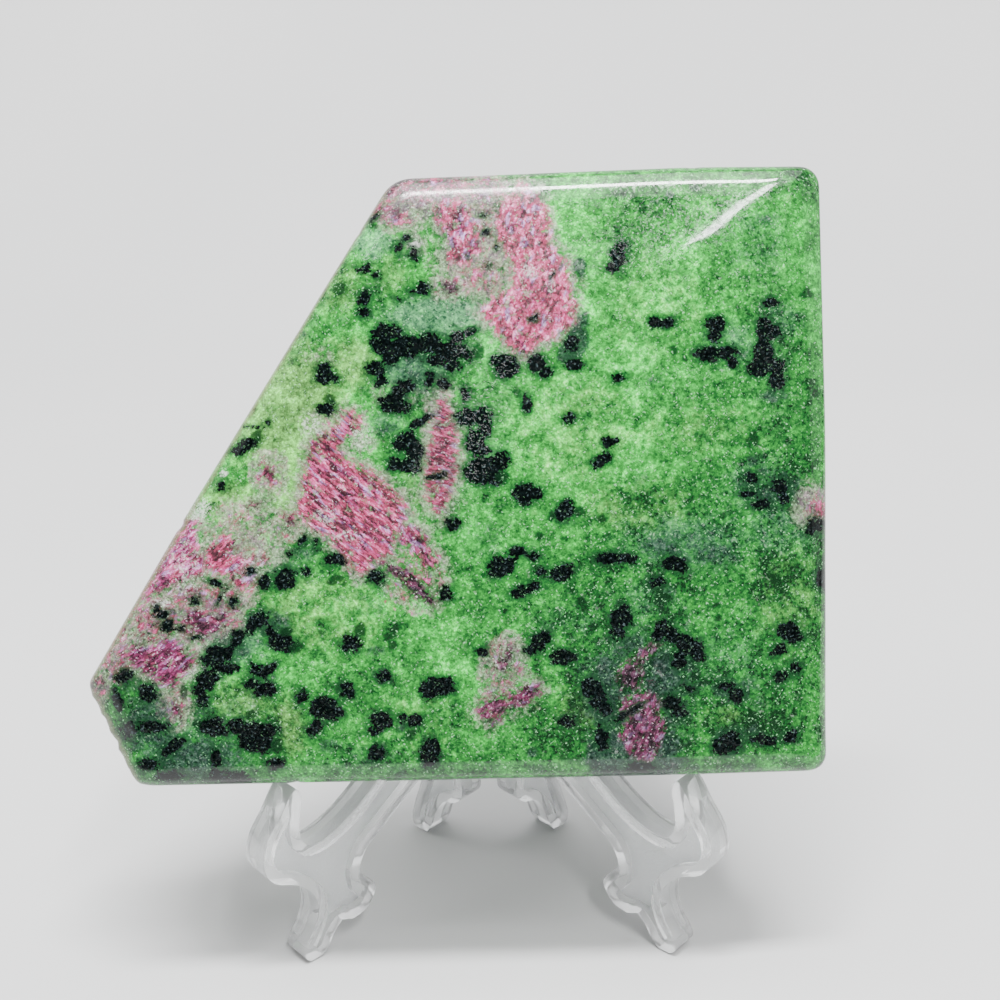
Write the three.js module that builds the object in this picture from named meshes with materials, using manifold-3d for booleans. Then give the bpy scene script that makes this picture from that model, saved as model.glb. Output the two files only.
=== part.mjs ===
// A polished slab of green epidote rock with ruby patches, standing on a clear two-piece easel.
// Units are millimetres, +Z is up, +X is to the viewer's right and the stone faces -Y.
// The model is laid out round the line where the two easel frames cross, and is moved at the
// end so that its origin lies on the ground under the middle of its bounding box.

import * as THREE from 'three';
import { mergeVertices } from 'three/addons/utils/BufferGeometryUtils.js';
import Module from 'manifold-3d';

const wasm = await Module();
wasm.setup();

// ---------------------------------------------------------------- driving dimensions

// Stone, in its own plane: x to the right of the easel's centre line, y up from its lower edge.
const STONE_THICKNESS = 15;
const STONE_LEAN = THREE.MathUtils.degToRad(20);
const STONE_CORNERS = [
  { name: 'lower right', x: 40.7, y: 0, radius: 2.1 },
  { name: 'right bend', x: 41.6, y: 40.5, radius: 300 },
  { name: 'upper right', x: 41.5, y: 72.3, radius: 2.3 },
  { name: 'top bend', x: 25.9, y: 72.5, radius: 200 },
  { name: 'upper left', x: -9.7, y: 71.8, radius: 4 },
  { name: 'left shoulder', x: -34.95, y: 32.2, radius: 60 },
  { name: 'left point', x: -47.15, y: 12.2, radius: 1.2 },
  { name: 'lower left', x: -41.4, y: 0, radius: 2.6 },
];
const CORNER_SEGMENTS = 6;

// How the stone pillows: each ring is the outline shrunk about its middle to a share of its
// size, at a share of half the thickness away from the middle plane.
const PILLOW_RINGS = [
  { size: 0.3, height: 0.993 },
  { size: 0.55, height: 0.975 },
  { size: 0.75, height: 0.945 },
  { size: 0.88, height: 0.895 },
  { size: 0.94, height: 0.83 },
  { size: 0.975, height: 0.745 },
  { size: 0.995, height: 0.61 },
  { size: 1.0, height: 0.45 },
];

// Easel frames, each a flat moulding that stands on edge.
const FRAME_THICKNESS = 4;
const RIM_WIDTH = 1.4;
const POCKET_DEPTH = 1.1;
const POCKET_POINT_SPACING = 1.2;
const POCKET_OVERCUT = 1;
const HALF_OPENING = THREE.MathUtils.degToRad(48);
const FRAME_TOP = 60.5;

// The frames are halved into each other: each has a slot that lets the other's thickness
// through at the crossing angle.
const SLOT_CLEARANCE = 0.3;
const SLOT_MEETING_HEIGHT = 41;
const CROSSING_ANGLE = 2 * HALF_OPENING;
const SLOT_WIDTH =
  (FRAME_THICKNESS * (1 + Math.abs(Math.cos(CROSSING_ANGLE))) + 2 * SLOT_CLEARANCE) /
  Math.sin(CROSSING_ANGLE);

// The stone's lower edge rests on the hook tips, this far in front of the crossing line. Its
// middle plane is raised over them, because its lower wall dips across each tip's thickness.
const TIP_REACH = 32.7;
const TIP_HEIGHT = 26.15;
const SEAT_RISE = 0.87;

// ---------------------------------------------------------------- materials

const stoneMaterial = new THREE.MeshStandardMaterial({
  color: 0x5ea84f,
  roughness: 0.18,
  metalness: 0,
});

const clearPlastic = new THREE.MeshStandardMaterial({
  color: 0xe9edf0,
  roughness: 0.12,
  metalness: 0,
  transparent: true,
  opacity: 0.35,
});

// ---------------------------------------------------------------- helpers

// A closed geometry with shared vertices becomes a manifold solid.
function toSolid(geometry) {
  const bare = geometry.clone();
  bare.deleteAttribute('normal');
  bare.deleteAttribute('uv');
  const merged = mergeVertices(bare, 1e-4);
  return new wasm.Manifold(new wasm.Mesh({
    numProp: 3,
    vertProperties: new Float32Array(merged.attributes.position.array),
    triVerts: new Uint32Array(merged.index.array),
  }));
}

// A manifold solid becomes a three.js geometry again.
function toGeometry(solid) {
  const mesh = solid.getMesh();
  const geometry = new THREE.BufferGeometry();
  geometry.setAttribute('position', new THREE.BufferAttribute(mesh.vertProperties, 3));
  geometry.setIndex(new THREE.BufferAttribute(mesh.triVerts, 1));
  geometry.computeVertexNormals();
  return geometry;
}

// The points of a polygon whose corners are rounded by tangent arcs.
function roundedPolygon(corners, segments) {
  const points = [];
  corners.forEach((corner, i) => {
    const here = new THREE.Vector2(corner.x, corner.y);
    const before = corners[(i + corners.length - 1) % corners.length];
    const after = corners[(i + 1) % corners.length];
    const back = new THREE.Vector2(before.x, before.y).sub(here).normalize();
    const ahead = new THREE.Vector2(after.x, after.y).sub(here).normalize();
    const halfAngle = Math.acos(back.dot(ahead)) / 2;
    const bisector = back.clone().add(ahead).normalize();
    const centre = here.clone().addScaledVector(bisector, corner.radius / Math.sin(halfAngle));
    const start = here.clone().addScaledVector(back, corner.radius / Math.tan(halfAngle));
    const sweep = Math.PI - 2 * halfAngle;
    for (let step = 0; step <= segments; step += 1) {
      points.push(start.clone().rotateAround(centre, (sweep * step) / segments));
    }
  });
  return points;
}

// Points along a smooth curve through the given [reach, height] pairs.
function smooth(pairs, pointsPerSpan = 3) {
  const curve = new THREE.SplineCurve(pairs.map(([x, y]) => new THREE.Vector2(x, y)));
  return curve.getPoints((pairs.length - 1) * pointsPerSpan);
}

function straight(pairs) {
  return pairs.map(([x, y]) => new THREE.Vector2(x, y));
}

// ---------------------------------------------------------------- stone

// Stacks rings of the outline from the back of the stone to its front and joins them up.
function pillowGeometry(outline, thickness) {
  const middle = outline
    .reduce((sum, point) => sum.add(point), new THREE.Vector2())
    .divideScalar(outline.length);
  const front = PILLOW_RINGS.map((ring) => ({ size: ring.size, z: (ring.height * thickness) / 2 }));
  const back = front.map((ring) => ({ size: ring.size, z: -ring.z })).reverse();
  const rings = [...front, ...back];
  const count = outline.length;

  const positions = [middle.x, middle.y, thickness / 2];
  rings.forEach((ring) => {
    outline.forEach((point) => {
      const spot = middle.clone().lerp(point, ring.size);
      positions.push(spot.x, spot.y, ring.z);
    });
  });
  positions.push(middle.x, middle.y, -thickness / 2);

  const triangles = [];
  const lastPole = 1 + rings.length * count;
  for (let i = 0; i < count; i += 1) {
    const next = (i + 1) % count;
    triangles.push(0, 1 + i, 1 + next);
    for (let r = 0; r + 1 < rings.length; r += 1) {
      const upper = 1 + r * count;
      const lower = upper + count;
      triangles.push(upper + i, lower + i, lower + next);
      triangles.push(upper + i, lower + next, upper + next);
    }
    const lastRing = lastPole - count;
    triangles.push(lastPole, lastRing + next, lastRing + i);
  }

  const geometry = new THREE.BufferGeometry();
  geometry.setAttribute('position', new THREE.Float32BufferAttribute(positions, 3));
  geometry.setIndex(triangles);
  geometry.computeVertexNormals();
  return geometry;
}

function makeStone() {
  const outline = roundedPolygon(STONE_CORNERS, CORNER_SEGMENTS);
  const stone = new THREE.Mesh(pillowGeometry(outline, STONE_THICKNESS), stoneMaterial);
  stone.name = 'stone_slab';
  stone.rotation.x = Math.PI / 2 - STONE_LEAN;
  stone.position.set(0, -TIP_REACH * Math.cos(HALF_OPENING), TIP_HEIGHT + SEAT_RISE);
  return stone;
}

// ---------------------------------------------------------------- easel frames

// One frame's outline in its own plane: x is the reach from the crossing line towards the
// front, y is the height. It runs clockwise from the head of the post.
function frameOutline(slotOpensDown) {
  const slotWall = SLOT_WIDTH / 2;
  const fullHead = smooth([[-slotWall, FRAME_TOP], [-1.2, 60.4], [0.2, 59.6], [1.1, 58.2]]);
  const slottedHead = straight([
    [-slotWall, FRAME_TOP],
    [-slotWall, SLOT_MEETING_HEIGHT - SLOT_CLEARANCE],
    [slotWall, SLOT_MEETING_HEIGHT - SLOT_CLEARANCE],
    [slotWall, 55.4],
    [3.0, 54.8],
  ]);
  const restingEdgeAndHook = smooth([
    [9.9, 42], [11.8, 36.6], [13.6, 31.2], [16.6, 26.2], [20.5, 22.1], [24.6, 19.2],
    [28.4, 17.6], [31.2, 17.5], [32.6, 19.4], [32.5, 22.4], [32.0, 24.9], [32.7, 26.15],
    [33.8, 25.3], [35.4, 22.9], [37.4, 20.2], [38.0, 17.2], [36.7, 14.6], [33.6, 12.9],
    [31.3, 10.5], [30.7, 7.8], [31.5, 5.2], [32.9, 3.2], [33.2, 1.9], [32.4, 1.05],
  ]);
  const frontHeel = smooth([[30.6, 1.05], [29.6, 1.9], [28.6, 3.5], [27.3, 4.7]]);
  const frontNub = smooth([
    [25.6, 4.0], [23.4, 4.5], [21.9, 6.4], [22.0, 7.9], [23.2, 7.6], [24.2, 9.0], [24.0, 11.4],
    [22.9, 13.4],
  ]);
  const arch = smooth([[14.1, 19.3], [9.6, 22.5], [6.0, 24.6], [slotWall, 25.6]]);
  const slotFromBelow = straight([
    [slotWall, SLOT_MEETING_HEIGHT + SLOT_CLEARANCE],
    [-slotWall, SLOT_MEETING_HEIGHT + SLOT_CLEARANCE],
  ]);
  const rearArchAndToe = smooth([
    [-slotWall, 24.6], [-3.9, 20.6], [-4.4, 15.6], [-3.6, 12.2], [-3.4, 9.8], [-4.8, 8.2],
    [-7.2, 7.4], [-8.8, 5.2], [-9.7, 2.8], [-10.7, 1.05],
  ]);
  const rearLegAndPost = smooth([
    [-12.9, 1.05], [-13.7, 2.3], [-12.7, 6.0], [-10.8, 11], [-9.2, 16.8], [-8.0, 24], [-7.1, 34],
    [-6.6, 46], [-6.1, 54], [-5.1, 58.4], [-3.7, 60.1],
  ]);
  return [
    ...(slotOpensDown ? fullHead : slottedHead),
    ...restingEdgeAndHook, ...frontHeel, ...frontNub, ...arch,
    ...(slotOpensDown ? slotFromBelow : []),
    ...rearArchAndToe, ...rearLegAndPost,
  ];
}

function distanceToSegment(point, start, end) {
  const along = end.clone().sub(start);
  const share = THREE.MathUtils.clamp(
    point.clone().sub(start).dot(along) / along.lengthSq(), 0, 1);
  return point.distanceTo(start.clone().addScaledVector(along, share));
}

// The outline moved inwards by the rim width. Where the moulding is too narrow for a pocket
// the moved points would cross, so those that come too near the outline are dropped.
function insetOutline(outline, distance) {
  const nearest = (point) => Math.min(...outline.map(
    (start, i) => distanceToSegment(point, start, outline[(i + 1) % outline.length])));
  const moved = [];
  outline.forEach((start, i) => {
    const end = outline[(i + 1) % outline.length];
    const along = end.clone().sub(start);
    const steps = Math.max(1, Math.round(along.length() / POCKET_POINT_SPACING));
    const inward = new THREE.Vector2(along.y, -along.x).normalize();
    for (let step = 0; step < steps; step += 1) {
      const spot = start.clone().addScaledVector(along, (step + 0.5) / steps);
      moved.push(spot.addScaledVector(inward, distance));
    }
  });
  const closestAllowed = distance * 0.985;
  return moved.filter((point) => nearest(point) > closestAllowed);
}

function extrudeFlat(points, depth, z) {
  const geometry = new THREE.ExtrudeGeometry(new THREE.Shape(points), {
    depth,
    bevelEnabled: false,
  });
  return geometry.translate(0, 0, z);
}

// A moulding with a full-thickness rim round a thinner web, pocketed from both faces.
function frameGeometry(slotOpensDown) {
  const outline = frameOutline(slotOpensDown);
  const pocket = insetOutline(outline, RIM_WIDTH);
  const half = FRAME_THICKNESS / 2;
  const plate = toSolid(extrudeFlat(outline, FRAME_THICKNESS, -half));
  const cut = POCKET_DEPTH + POCKET_OVERCUT;
  const nearPocket = toSolid(extrudeFlat(pocket, cut, half - POCKET_DEPTH));
  const farPocket = toSolid(extrudeFlat(pocket, cut, -half - POCKET_OVERCUT));
  return toGeometry(plate.subtract(nearPocket).subtract(farPocket));
}

// Stands a frame on edge with its hook towards the front, at the left (-1) or the right (+1).
function makeFrame(name, side, slotOpensDown) {
  const reach = new THREE.Vector3(
    side * Math.sin(HALF_OPENING), -Math.cos(HALF_OPENING), 0);
  const up = new THREE.Vector3(0, 0, 1);
  const across = reach.clone().cross(up);
  const frame = new THREE.Mesh(frameGeometry(slotOpensDown), clearPlastic);
  frame.name = name;
  frame.quaternion.setFromRotationMatrix(new THREE.Matrix4().makeBasis(reach, up, across));
  return frame;
}

// ---------------------------------------------------------------- assembly

const model = new THREE.Group();
model.add(makeStone());
model.add(makeFrame('stand_frame_left', -1, true));
model.add(makeFrame('stand_frame_right', 1, false));

model.updateMatrixWorld(true);
const bounds = new THREE.Box3().setFromObject(model, true);
const centre = bounds.getCenter(new THREE.Vector3());
model.position.set(-centre.x, -centre.y, -bounds.min.z);

export default model;
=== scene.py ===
# %% [markdown]
# # A ruby epidote slice on a clear easel
#
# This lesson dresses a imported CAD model. The object is a thick slice of green epidote rock
# with patches of ruby and spots of black hornblende. It was sawn, ground to a pillow shape and
# polished all over, and it leans back on a small moulded easel of clear plastic. The CAD
# solids already have the right sizes and places, so everything here is built from them.

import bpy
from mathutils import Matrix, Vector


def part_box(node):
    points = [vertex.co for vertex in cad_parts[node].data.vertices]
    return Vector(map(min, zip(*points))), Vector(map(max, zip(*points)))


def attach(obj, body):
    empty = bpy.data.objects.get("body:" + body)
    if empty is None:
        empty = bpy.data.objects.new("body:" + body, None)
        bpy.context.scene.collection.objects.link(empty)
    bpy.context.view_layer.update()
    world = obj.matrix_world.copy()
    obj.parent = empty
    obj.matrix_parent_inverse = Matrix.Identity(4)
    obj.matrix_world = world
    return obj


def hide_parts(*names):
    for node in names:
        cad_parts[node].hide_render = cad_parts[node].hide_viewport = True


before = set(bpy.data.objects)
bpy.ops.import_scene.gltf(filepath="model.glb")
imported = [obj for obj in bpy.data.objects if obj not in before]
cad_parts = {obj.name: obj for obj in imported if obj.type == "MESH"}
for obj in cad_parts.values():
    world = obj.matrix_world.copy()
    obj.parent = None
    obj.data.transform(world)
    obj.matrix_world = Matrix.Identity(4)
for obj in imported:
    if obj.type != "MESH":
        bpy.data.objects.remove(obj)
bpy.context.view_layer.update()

# %% Tools and units
import math

import bpy
import numpy as np
from mathutils import Euler, Matrix, Vector

MM = 0.001
rng = np.random.default_rng(218)

# %% [markdown]
# ## The viewpoint
#
# The slice is looked at from a little above, almost square to its face, which leans back by
# twenty degrees. The camera is close, so the easel's feet spread as they come forward. It was
# also held a little crooked, so it is rolled by about a degree.

# %% Camera
FRAME_PIXELS = 1000
FOCAL_PIXELS = 1400
CAMERA_PLACE = Vector((5.1, -162.9, 114.4)) * MM
CAMERA_DIP = math.radians(19.65)
CAMERA_ROLL = math.radians(-1.2)

bpy.ops.object.camera_add(location=CAMERA_PLACE)
camera = bpy.context.active_object
camera.name = "viewpoint"
camera.data.sensor_width = 36
camera.data.lens = FOCAL_PIXELS / FRAME_PIXELS * camera.data.sensor_width
tilt = Euler((math.pi / 2 - CAMERA_DIP, 0, 0)).to_matrix()
roll = Matrix.Rotation(CAMERA_ROLL, 3, "Z")
camera.rotation_euler = (tilt @ roll).to_euler()
camera.data.clip_start = 0.01
bpy.context.scene.camera = camera
print("lens in mm:", round(camera.data.lens, 1))

# %% [markdown]
# ## The stone's own directions
#
# Everything on the slice is easier to place in its own plane: x to the right of the easel's
# centre line, y up the face from the lower edge, and z out of the face from the middle of the
# thickness. All three are in millimetres, and one matrix turns them into the model's frame. The
# zero line lies a little above the lower edge, where the face starts to roll over.

# %% The face frame
STONE_LEAN = math.radians(20)
STONE_HEIGHT = 72.5
ZERO_LINE_RISE = 0.8
HALF_THICKNESS = 7.5

stone_low, stone_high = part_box("stone_slab")
centre_line = (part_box("stand_frame_left")[0].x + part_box("stand_frame_right")[1].x) / 2
up_face = Vector((0, math.sin(STONE_LEAN), math.cos(STONE_LEAN)))
out_of_face = Vector((0, -math.cos(STONE_LEAN), math.sin(STONE_LEAN)))
zero_point = (stone_low + stone_high) / 2 - up_face * (STONE_HEIGHT / 2 - ZERO_LINE_RISE) * MM
zero_point.x = centre_line

face_to_model = Matrix.Translation(zero_point) @ Matrix(
    ((1, 0, 0, 0), (0, up_face.y, out_of_face.y, 0), (0, up_face.z, out_of_face.z, 0), (0, 0, 0, 1))
)
model_to_face = face_to_model.inverted()
print("zero point of the face in mm:", [round(1000 * c, 2) for c in zero_point])

# %% Copy a solid into a piece of its own
def copied_solid(node, name):
    """A merged copy of a CAD node's mesh, as the only selected and active object."""
    bpy.ops.object.select_all(action="DESELECT")
    piece = bpy.data.objects.new(name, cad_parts[node].data.copy())
    bpy.context.scene.collection.objects.link(piece)
    piece.data.materials.clear()
    piece.select_set(True)
    bpy.context.view_layer.objects.active = piece
    bpy.ops.object.mode_set(mode="EDIT")
    bpy.ops.mesh.select_all(action="SELECT")
    bpy.ops.mesh.remove_doubles(threshold=0.01 * MM)
    bpy.ops.object.mode_set(mode="OBJECT")
    return piece


def vertex_places(piece):
    """The piece's vertices as rows of x, y, z."""
    places = np.zeros(len(piece.data.vertices) * 3)
    piece.data.vertices.foreach_get("co", places)
    return places.reshape(-1, 3)


def triangle_count(piece):
    piece.data.calc_loop_triangles()
    return len(piece.data.loop_triangles)


# %% [markdown]
# ## The slice
#
# A lapidary saws the slice, grinds its rim round and polishes it. The solid already has that
# pillow shape, but in flat facets. Turned flat into its own plane, it is remeshed into an even
# skin of small squares and smoothed, which melts the facets as the polishing wheel did. The
# even skin also carries the minerals' places, and the small damage along the rim. Those places
# were read from the viewpoint, so each is where its line of sight meets the plane of the face.

# %% An even, smooth skin
SKIN_SQUARE = 0.41 * MM
POLISH_PASSES = 14

stone = copied_solid("stone_slab", "polished_slice")
stone.data.transform(model_to_face)
stone.data.remesh_voxel_size = SKIN_SQUARE
bpy.ops.object.voxel_remesh()
polish = stone.modifiers.new("polish", "SMOOTH")
polish.factor = 0.5
polish.iterations = POLISH_PASSES
bpy.ops.object.modifier_apply(modifier=polish.name)
print("triangles in the slice:", triangle_count(stone))

# %% Damage along the rim
SCALLOP_DEPTH = 0.168
SCALLOP_LENGTH = 2.3
SCALLOP_REACH = 1.6
SCALLOP_SLANT = 0.25  # radians the scallops shift for each millimetre of depth
LEFT_POINT = np.array([-45.9, 11.9])
LOWER_LEFT = np.array([-40.3, 0.0])
CHIPS = [  # x, y, radius, depth in mm
    (-34.7, 29.9, 0.9, 0.45), (-44.6, 7.6, 0.8, 0.35), (-42.9, 4.9, 0.7, 0.25), (-41.6, 1.9, 0.8, 0.25),
    (-21.9, 0, 0.6, 0.22), (-12.2, 0, 0.7, 0.22), (25.8, 70.8, 0.9, 0.12), (-13.2, 63.6, 0.8, 0.12),
]

skin = vertex_places(stone) / MM
eye = np.array(model_to_face @ CAMERA_PLACE) / MM
sight = (eye[2] - HALF_THICKNESS) / (eye[2] - skin[:, 2])
seen = eye[:2] + (skin[:, :2] - eye[:2]) * sight[:, None]

knapped_length = np.linalg.norm(LOWER_LEFT - LEFT_POINT)
along_edge = (LOWER_LEFT - LEFT_POINT) / knapped_length
into_stone = np.array([-along_edge[1], along_edge[0]])
edge_travel = (seen - LEFT_POINT) @ along_edge
edge_inset = (seen - LEFT_POINT) @ into_stone
on_knapped_edge = np.clip(edge_travel, 0, 1) * np.clip(knapped_length + 1 - edge_travel, 0, 1)
scallops = np.abs(np.sin(math.pi * edge_travel / SCALLOP_LENGTH + SCALLOP_SLANT * skin[:, 2]))
push = SCALLOP_DEPTH * (1 - scallops) * on_knapped_edge * np.clip(1 - edge_inset / SCALLOP_REACH, 0, 1)
skin[:, :2] -= push[:, None] * into_stone

# The top and the right side were ground as broad, shallow slopes that meet in a soft hip,
# which runs from the upper right corner down into the face.
HIP_START = (18.5, 56.4)
HIP_CORNER = (38.2, 71.2)
HIP_DROP = 1.15
HIP_SHARPNESS = 34.0
HIP_FALL = 1.5
HIP_SLACK = 0.03
HIP_END = 1.25
FRONT_START = 1.0  # from this height to 5 mm above it, a push on the face comes in
FRONT_FADE = 5.0
to_right = (skin[:, 0] - HIP_START[0]) / (HIP_CORNER[0] - HIP_START[0])
to_top = (skin[:, 1] - HIP_START[1]) / (HIP_CORNER[1] - HIP_START[1])
slope = np.logaddexp(HIP_SHARPNESS * to_right, HIP_SHARPNESS * to_top) / HIP_SHARPNESS
slope = np.clip(slope - HIP_SLACK, 0, HIP_END)
front_share = np.clip((skin[:, 2] - FRONT_START) / FRONT_FADE, 0, 1)
skin[:, 2] -= HIP_DROP * slope**HIP_FALL * front_share

# Along the foot the face was left nearly flat, right down to a narrow lower edge.
FOOT_HEIGHT = 5.5
FOOT_FILL = 0.75
FOOT_ROUND = 1.6
near_foot = np.clip((FOOT_HEIGHT - skin[:, 1]) / FOOT_HEIGHT, 0, 0.90)
skin[:, 2] += FOOT_FILL * near_foot**FOOT_ROUND * front_share

# A chip is pressed towards the middle of the face, most at its own level.
MIDDLE_OF_FACE = np.array([-2.6, 35.0])
CHIP_LEVEL = 2.0
CHIP_SPREAD = 6.0
for x, y, radius, depth in CHIPS:
    gap = np.hypot(seen[:, 0] - x, seen[:, 1] - y)
    inward = (MIDDLE_OF_FACE - (x, y)) / np.linalg.norm(MIDDLE_OF_FACE - (x, y))
    level_share = np.clip(1.2 - np.abs(skin[:, 2] - CHIP_LEVEL) / CHIP_SPREAD, 0, 1)
    dent = depth * np.clip(1 - gap / radius, 0, 1) * level_share
    skin[:, :2] += dent[:, None] * inward
stone.data.vertices.foreach_set("co", (skin * MM).ravel())
stone.data.update()
print("deepest scallop in mm:", round(float(push.max()), 2))

# %% [markdown]
# ## Where the minerals lie
#
# The rock is a granular green ground. Ruby grew in it in ragged patches, each inside a rim of
# grey and mauve, and hornblende in black spots. Some spots lie just under the surface and show
# as grey or dark green clouds. Each kind is laid out as ovals or as outlines on the face, in
# tenths of a millimetre. Every vertex then keeps how far it is inside the nearest one, and the
# material frays these smooth edges grain by grain.

# %% Black hornblende on the face
# Each spot is x, y, width, height, and the turn of its width in degrees where it has one.
BLACK_SPOTS = [
    # upper left, below the corner
    (-116, 655, 11, 8, 30), (-78, 630, 12, 9), (-70, 613, 14, 18), (-89, 619, 13, 13),
    (-131, 594, 20, 10, -10), (-124, 599, 12, 8), (-115, 587, 15, 11, -35), (-129, 561, 19, 17),
    (-122, 568, 17, 9), (-130, 545, 16, 15), (-62, 571, 24, 16), (-73, 569, 12, 7), (-90, 559, 12, 8),
    # the long chain
    (-104, 521, 34, 19), (-110, 506, 24, 22), (-80, 504, 46, 24), (-54, 506, 28, 23), (-30, 497, 34, 24),
    (-22, 512, 18, 13, 30), (-9, 517, 15, 7, 25), (-99, 493, 20, 17), (-27, 479, 15, 15),
    (-12, 492, 16, 14), (-50, 486, 20, 10), (-117, 478, 21, 18), (-111, 466, 13, 15),
    (-85, 455, 23, 15, 20), (-98, 438, 29, 22), (-82, 432, 10, 9), (-55, 466, 11, 19), (-40, 460, 14, 12),
    # either side of the ruby lens
    (-84, 393, 25, 20, 35), (-75, 382, 18, 24), (-97, 367, 18, 13), (-79, 365, 23, 16),
    (-66, 416, 20, 7, 30), (-14, 446, 8, 15), (-14, 420, 21, 18), (3, 422, 19, 18), (9, 408, 11, 24),
    (-3, 390, 22, 24), (5, 381, 14, 11), (5, 357, 40, 31), (27, 369, 19, 18), (-10, 359, 12, 12),
    (15, 348, 24, 15),
    # left slope
    (-178, 479, 18, 15), (-179, 466, 19, 9), (-168, 471, 12, 7, -30), (-176, 433, 19, 14),
    (-267, 394, 24, 12, 20), (-280, 386, 14, 10), (-261, 414, 13, 4), (-244, 419, 9, 6), (-300, 347, 9, 8),
    # under and beside the upper ruby
    (34, 477, 26, 25), (25, 484, 13, 12), (70, 481, 18, 19), (80, 471, 15, 11), (113, 478, 20, 11),
    (110, 504, 13, 16), (58, 433, 10, 16), (106, 416, 11, 10), (147, 368, 16, 12), (137, 363, 10, 7),
    (155, 388, 14, 10), (52, 329, 23, 23), (64, 329, 19, 13), (102, 310, 17, 19), (94, 303, 12, 10),
    (-32, 296, 12, 11),
    # upper right
    (168, 604, 18, 20, -15), (162, 591, 13, 11), (173, 618, 8, 8), (166, 463, 13, 9), (209, 526, 16, 13),
    (223, 525, 16, 10), (281, 523, 21, 16), (278, 509, 13, 12), (270, 488, 26, 16), (292, 489, 21, 13),
    (299, 478, 13, 8, -40), (342, 513, 23, 17), (337, 523, 11, 9), (336, 486, 21, 34), (330, 470, 22, 17),
    (350, 473, 20, 16), (351, 456, 16, 21), (346, 548, 13, 8),
    # the open ring near the right edge
    (319, 343, 14, 9), (313, 324, 16, 8), (352, 333, 19, 14), (357, 320, 11, 16), (328, 311, 19, 9),
    (394, 286, 16, 16), (388, 278, 8, 6), (399, 224, 10, 22),
    # middle band
    (22, 244, 25, 22), (35, 250, 13, 10), (43, 262, 16, 11), (63, 257, 12, 8), (93, 235, 27, 17, 20),
    (70, 239, 12, 11), (44, 216, 17, 11, 15), (60, 221, 16, 8, 15), (-41, 215, 13, 14), (146, 252, 23, 12),
    (165, 252, 17, 7), (178, 251, 9, 8), (225, 244, 23, 15, -10), (234, 239, 11, 8), (204, 223, 15, 9),
    (162, 182, 23, 22), (158, 167, 15, 15), (165, 194, 9, 8),
    # the bar above the lower right ruby
    (210, 170, 16, 15), (222, 159, 20, 14, -40), (237, 148, 25, 19, -30), (252, 142, 13, 21),
    (206, 160, 14, 9), (228, 132, 13, 18), (126, 103, 21, 18), (134, 87, 15, 20), (142, 78, 11, 14),
    (218, 83, 18, 16), (227, 72, 16, 12, -35), (240, 98, 12, 6, -20),
    # lower right
    (357, 163, 25, 18), (366, 155, 16, 13), (346, 140, 16, 9, 25), (349, 108, 13, 12), (366, 118, 9, 10),
    (288, 36, 23, 20), (274, 30, 16, 13), (293, 37, 10, 18), (326, 37, 26, 10, -8), (358, 40, 14, 9, 20),
    (296, 89, 12, 13), (282, 101, 13, 9),
    # bottom middle
    (90, 139, 21, 16), (104, 140, 10, 8), (68, 157, 17, 16), (74, 164, 9, 7), (56, 147, 10, 8),
    (0, 147, 10, 8), (96, 63, 16, 11), (-62, 103, 19, 23), (-42, 108, 18, 18), (-51, 105, 12, 15),
    (-120, 69, 22, 18), (-127, 59, 13, 10), (-81, 68, 17, 11), (-94, 72, 11, 6), (-63, 31, 20, 29),
    (-126, 31, 14, 15), (-115, 120, 13, 10), (-153, 159, 19, 17), (-159, 106, 13, 18, 30),
    (-185, 85, 31, 24), (-172, 80, 14, 15), (-197, 62, 16, 11, 30), (-212, 100, 12, 13),
    # lower left
    (-266, 53, 39, 31), (-254, 62, 21, 12), (-288, 65, 17, 14), (-256, 43, 17, 13), (-242, 22, 16, 11),
    (-232, 162, 29, 19, -10), (-247, 176, 9, 10), (-259, 190, 21, 16, 20), (-268, 180, 12, 12),
    (-283, 173, 18, 10), (-286, 164, 14, 11), (-309, 149, 23, 22), (-319, 145, 14, 11), (-309, 136, 13, 14),
    (-295, 151, 10, 16), (-294, 133, 18, 9), (-322, 119, 20, 19), (-315, 125, 14, 10), (-330, 109, 12, 15),
    (-327, 98, 10, 13), (-264, 132, 14, 10, -20), (-252, 129, 21, 8, 35), (-268, 114, 13, 9),
    (-253, 107, 22, 13), (-320, 67, 21, 15), (-310, 61, 18, 11), (-309, 72, 9, 12), (-425, 99, 10, 24, 15),
    (-416, 127, 14, 12), (-391, 107, 16, 18), (-378, 67, 19, 10), (-395, 68, 17, 11), (-413, 64, 16, 14),
    (-360, 45, 25, 10, 35), (-368, 39, 11, 9), (-390, 24, 20, 10), (-364, 10, 28, 11), (-312, 29, 9, 23),
    (-310, 10, 17, 13), (-290, 7, 34, 12),
    # between the left-hand rubies
    (-203, 243, 9, 12), (-228, 237, 22, 23), (-252, 233, 13, 14), (-170, 258, 18, 14), (-122, 236, 19, 15),
    (-208, 279, 16, 8, 45), (-191, 276, 7, 12), (-222, 266, 8, 7), (-370, 197, 19, 9, 15),
    (-366, 184, 16, 15), (-379, 203, 8, 9), (-333, 214, 13, 10), (-309, 233, 22, 7, -20),
    (-304, 214, 6, 21, -30), (-288, 211, 12, 11), (-352, 182, 10, 8), (-334, 171, 11, 6),
    (-270, 247, 12, 8),
    # specks inside the rubies
    (92, 584, 14, 5, 50), (70, 534, 13, 9), (27, 618, 6, 12), (-8, 607, 6, 5), (17, 596, 9, 9),
    (12, 656, 10, 7), (14, 636, 13, 10), (176, 77, 16, 6, 25), (161, 68, 16, 6, 30), (-48, 352, 16, 5, 10),
    (136, 43, 14, 23), (180, 9, 26, 10),
]
print(len(BLACK_SPOTS), "black spots")

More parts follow.
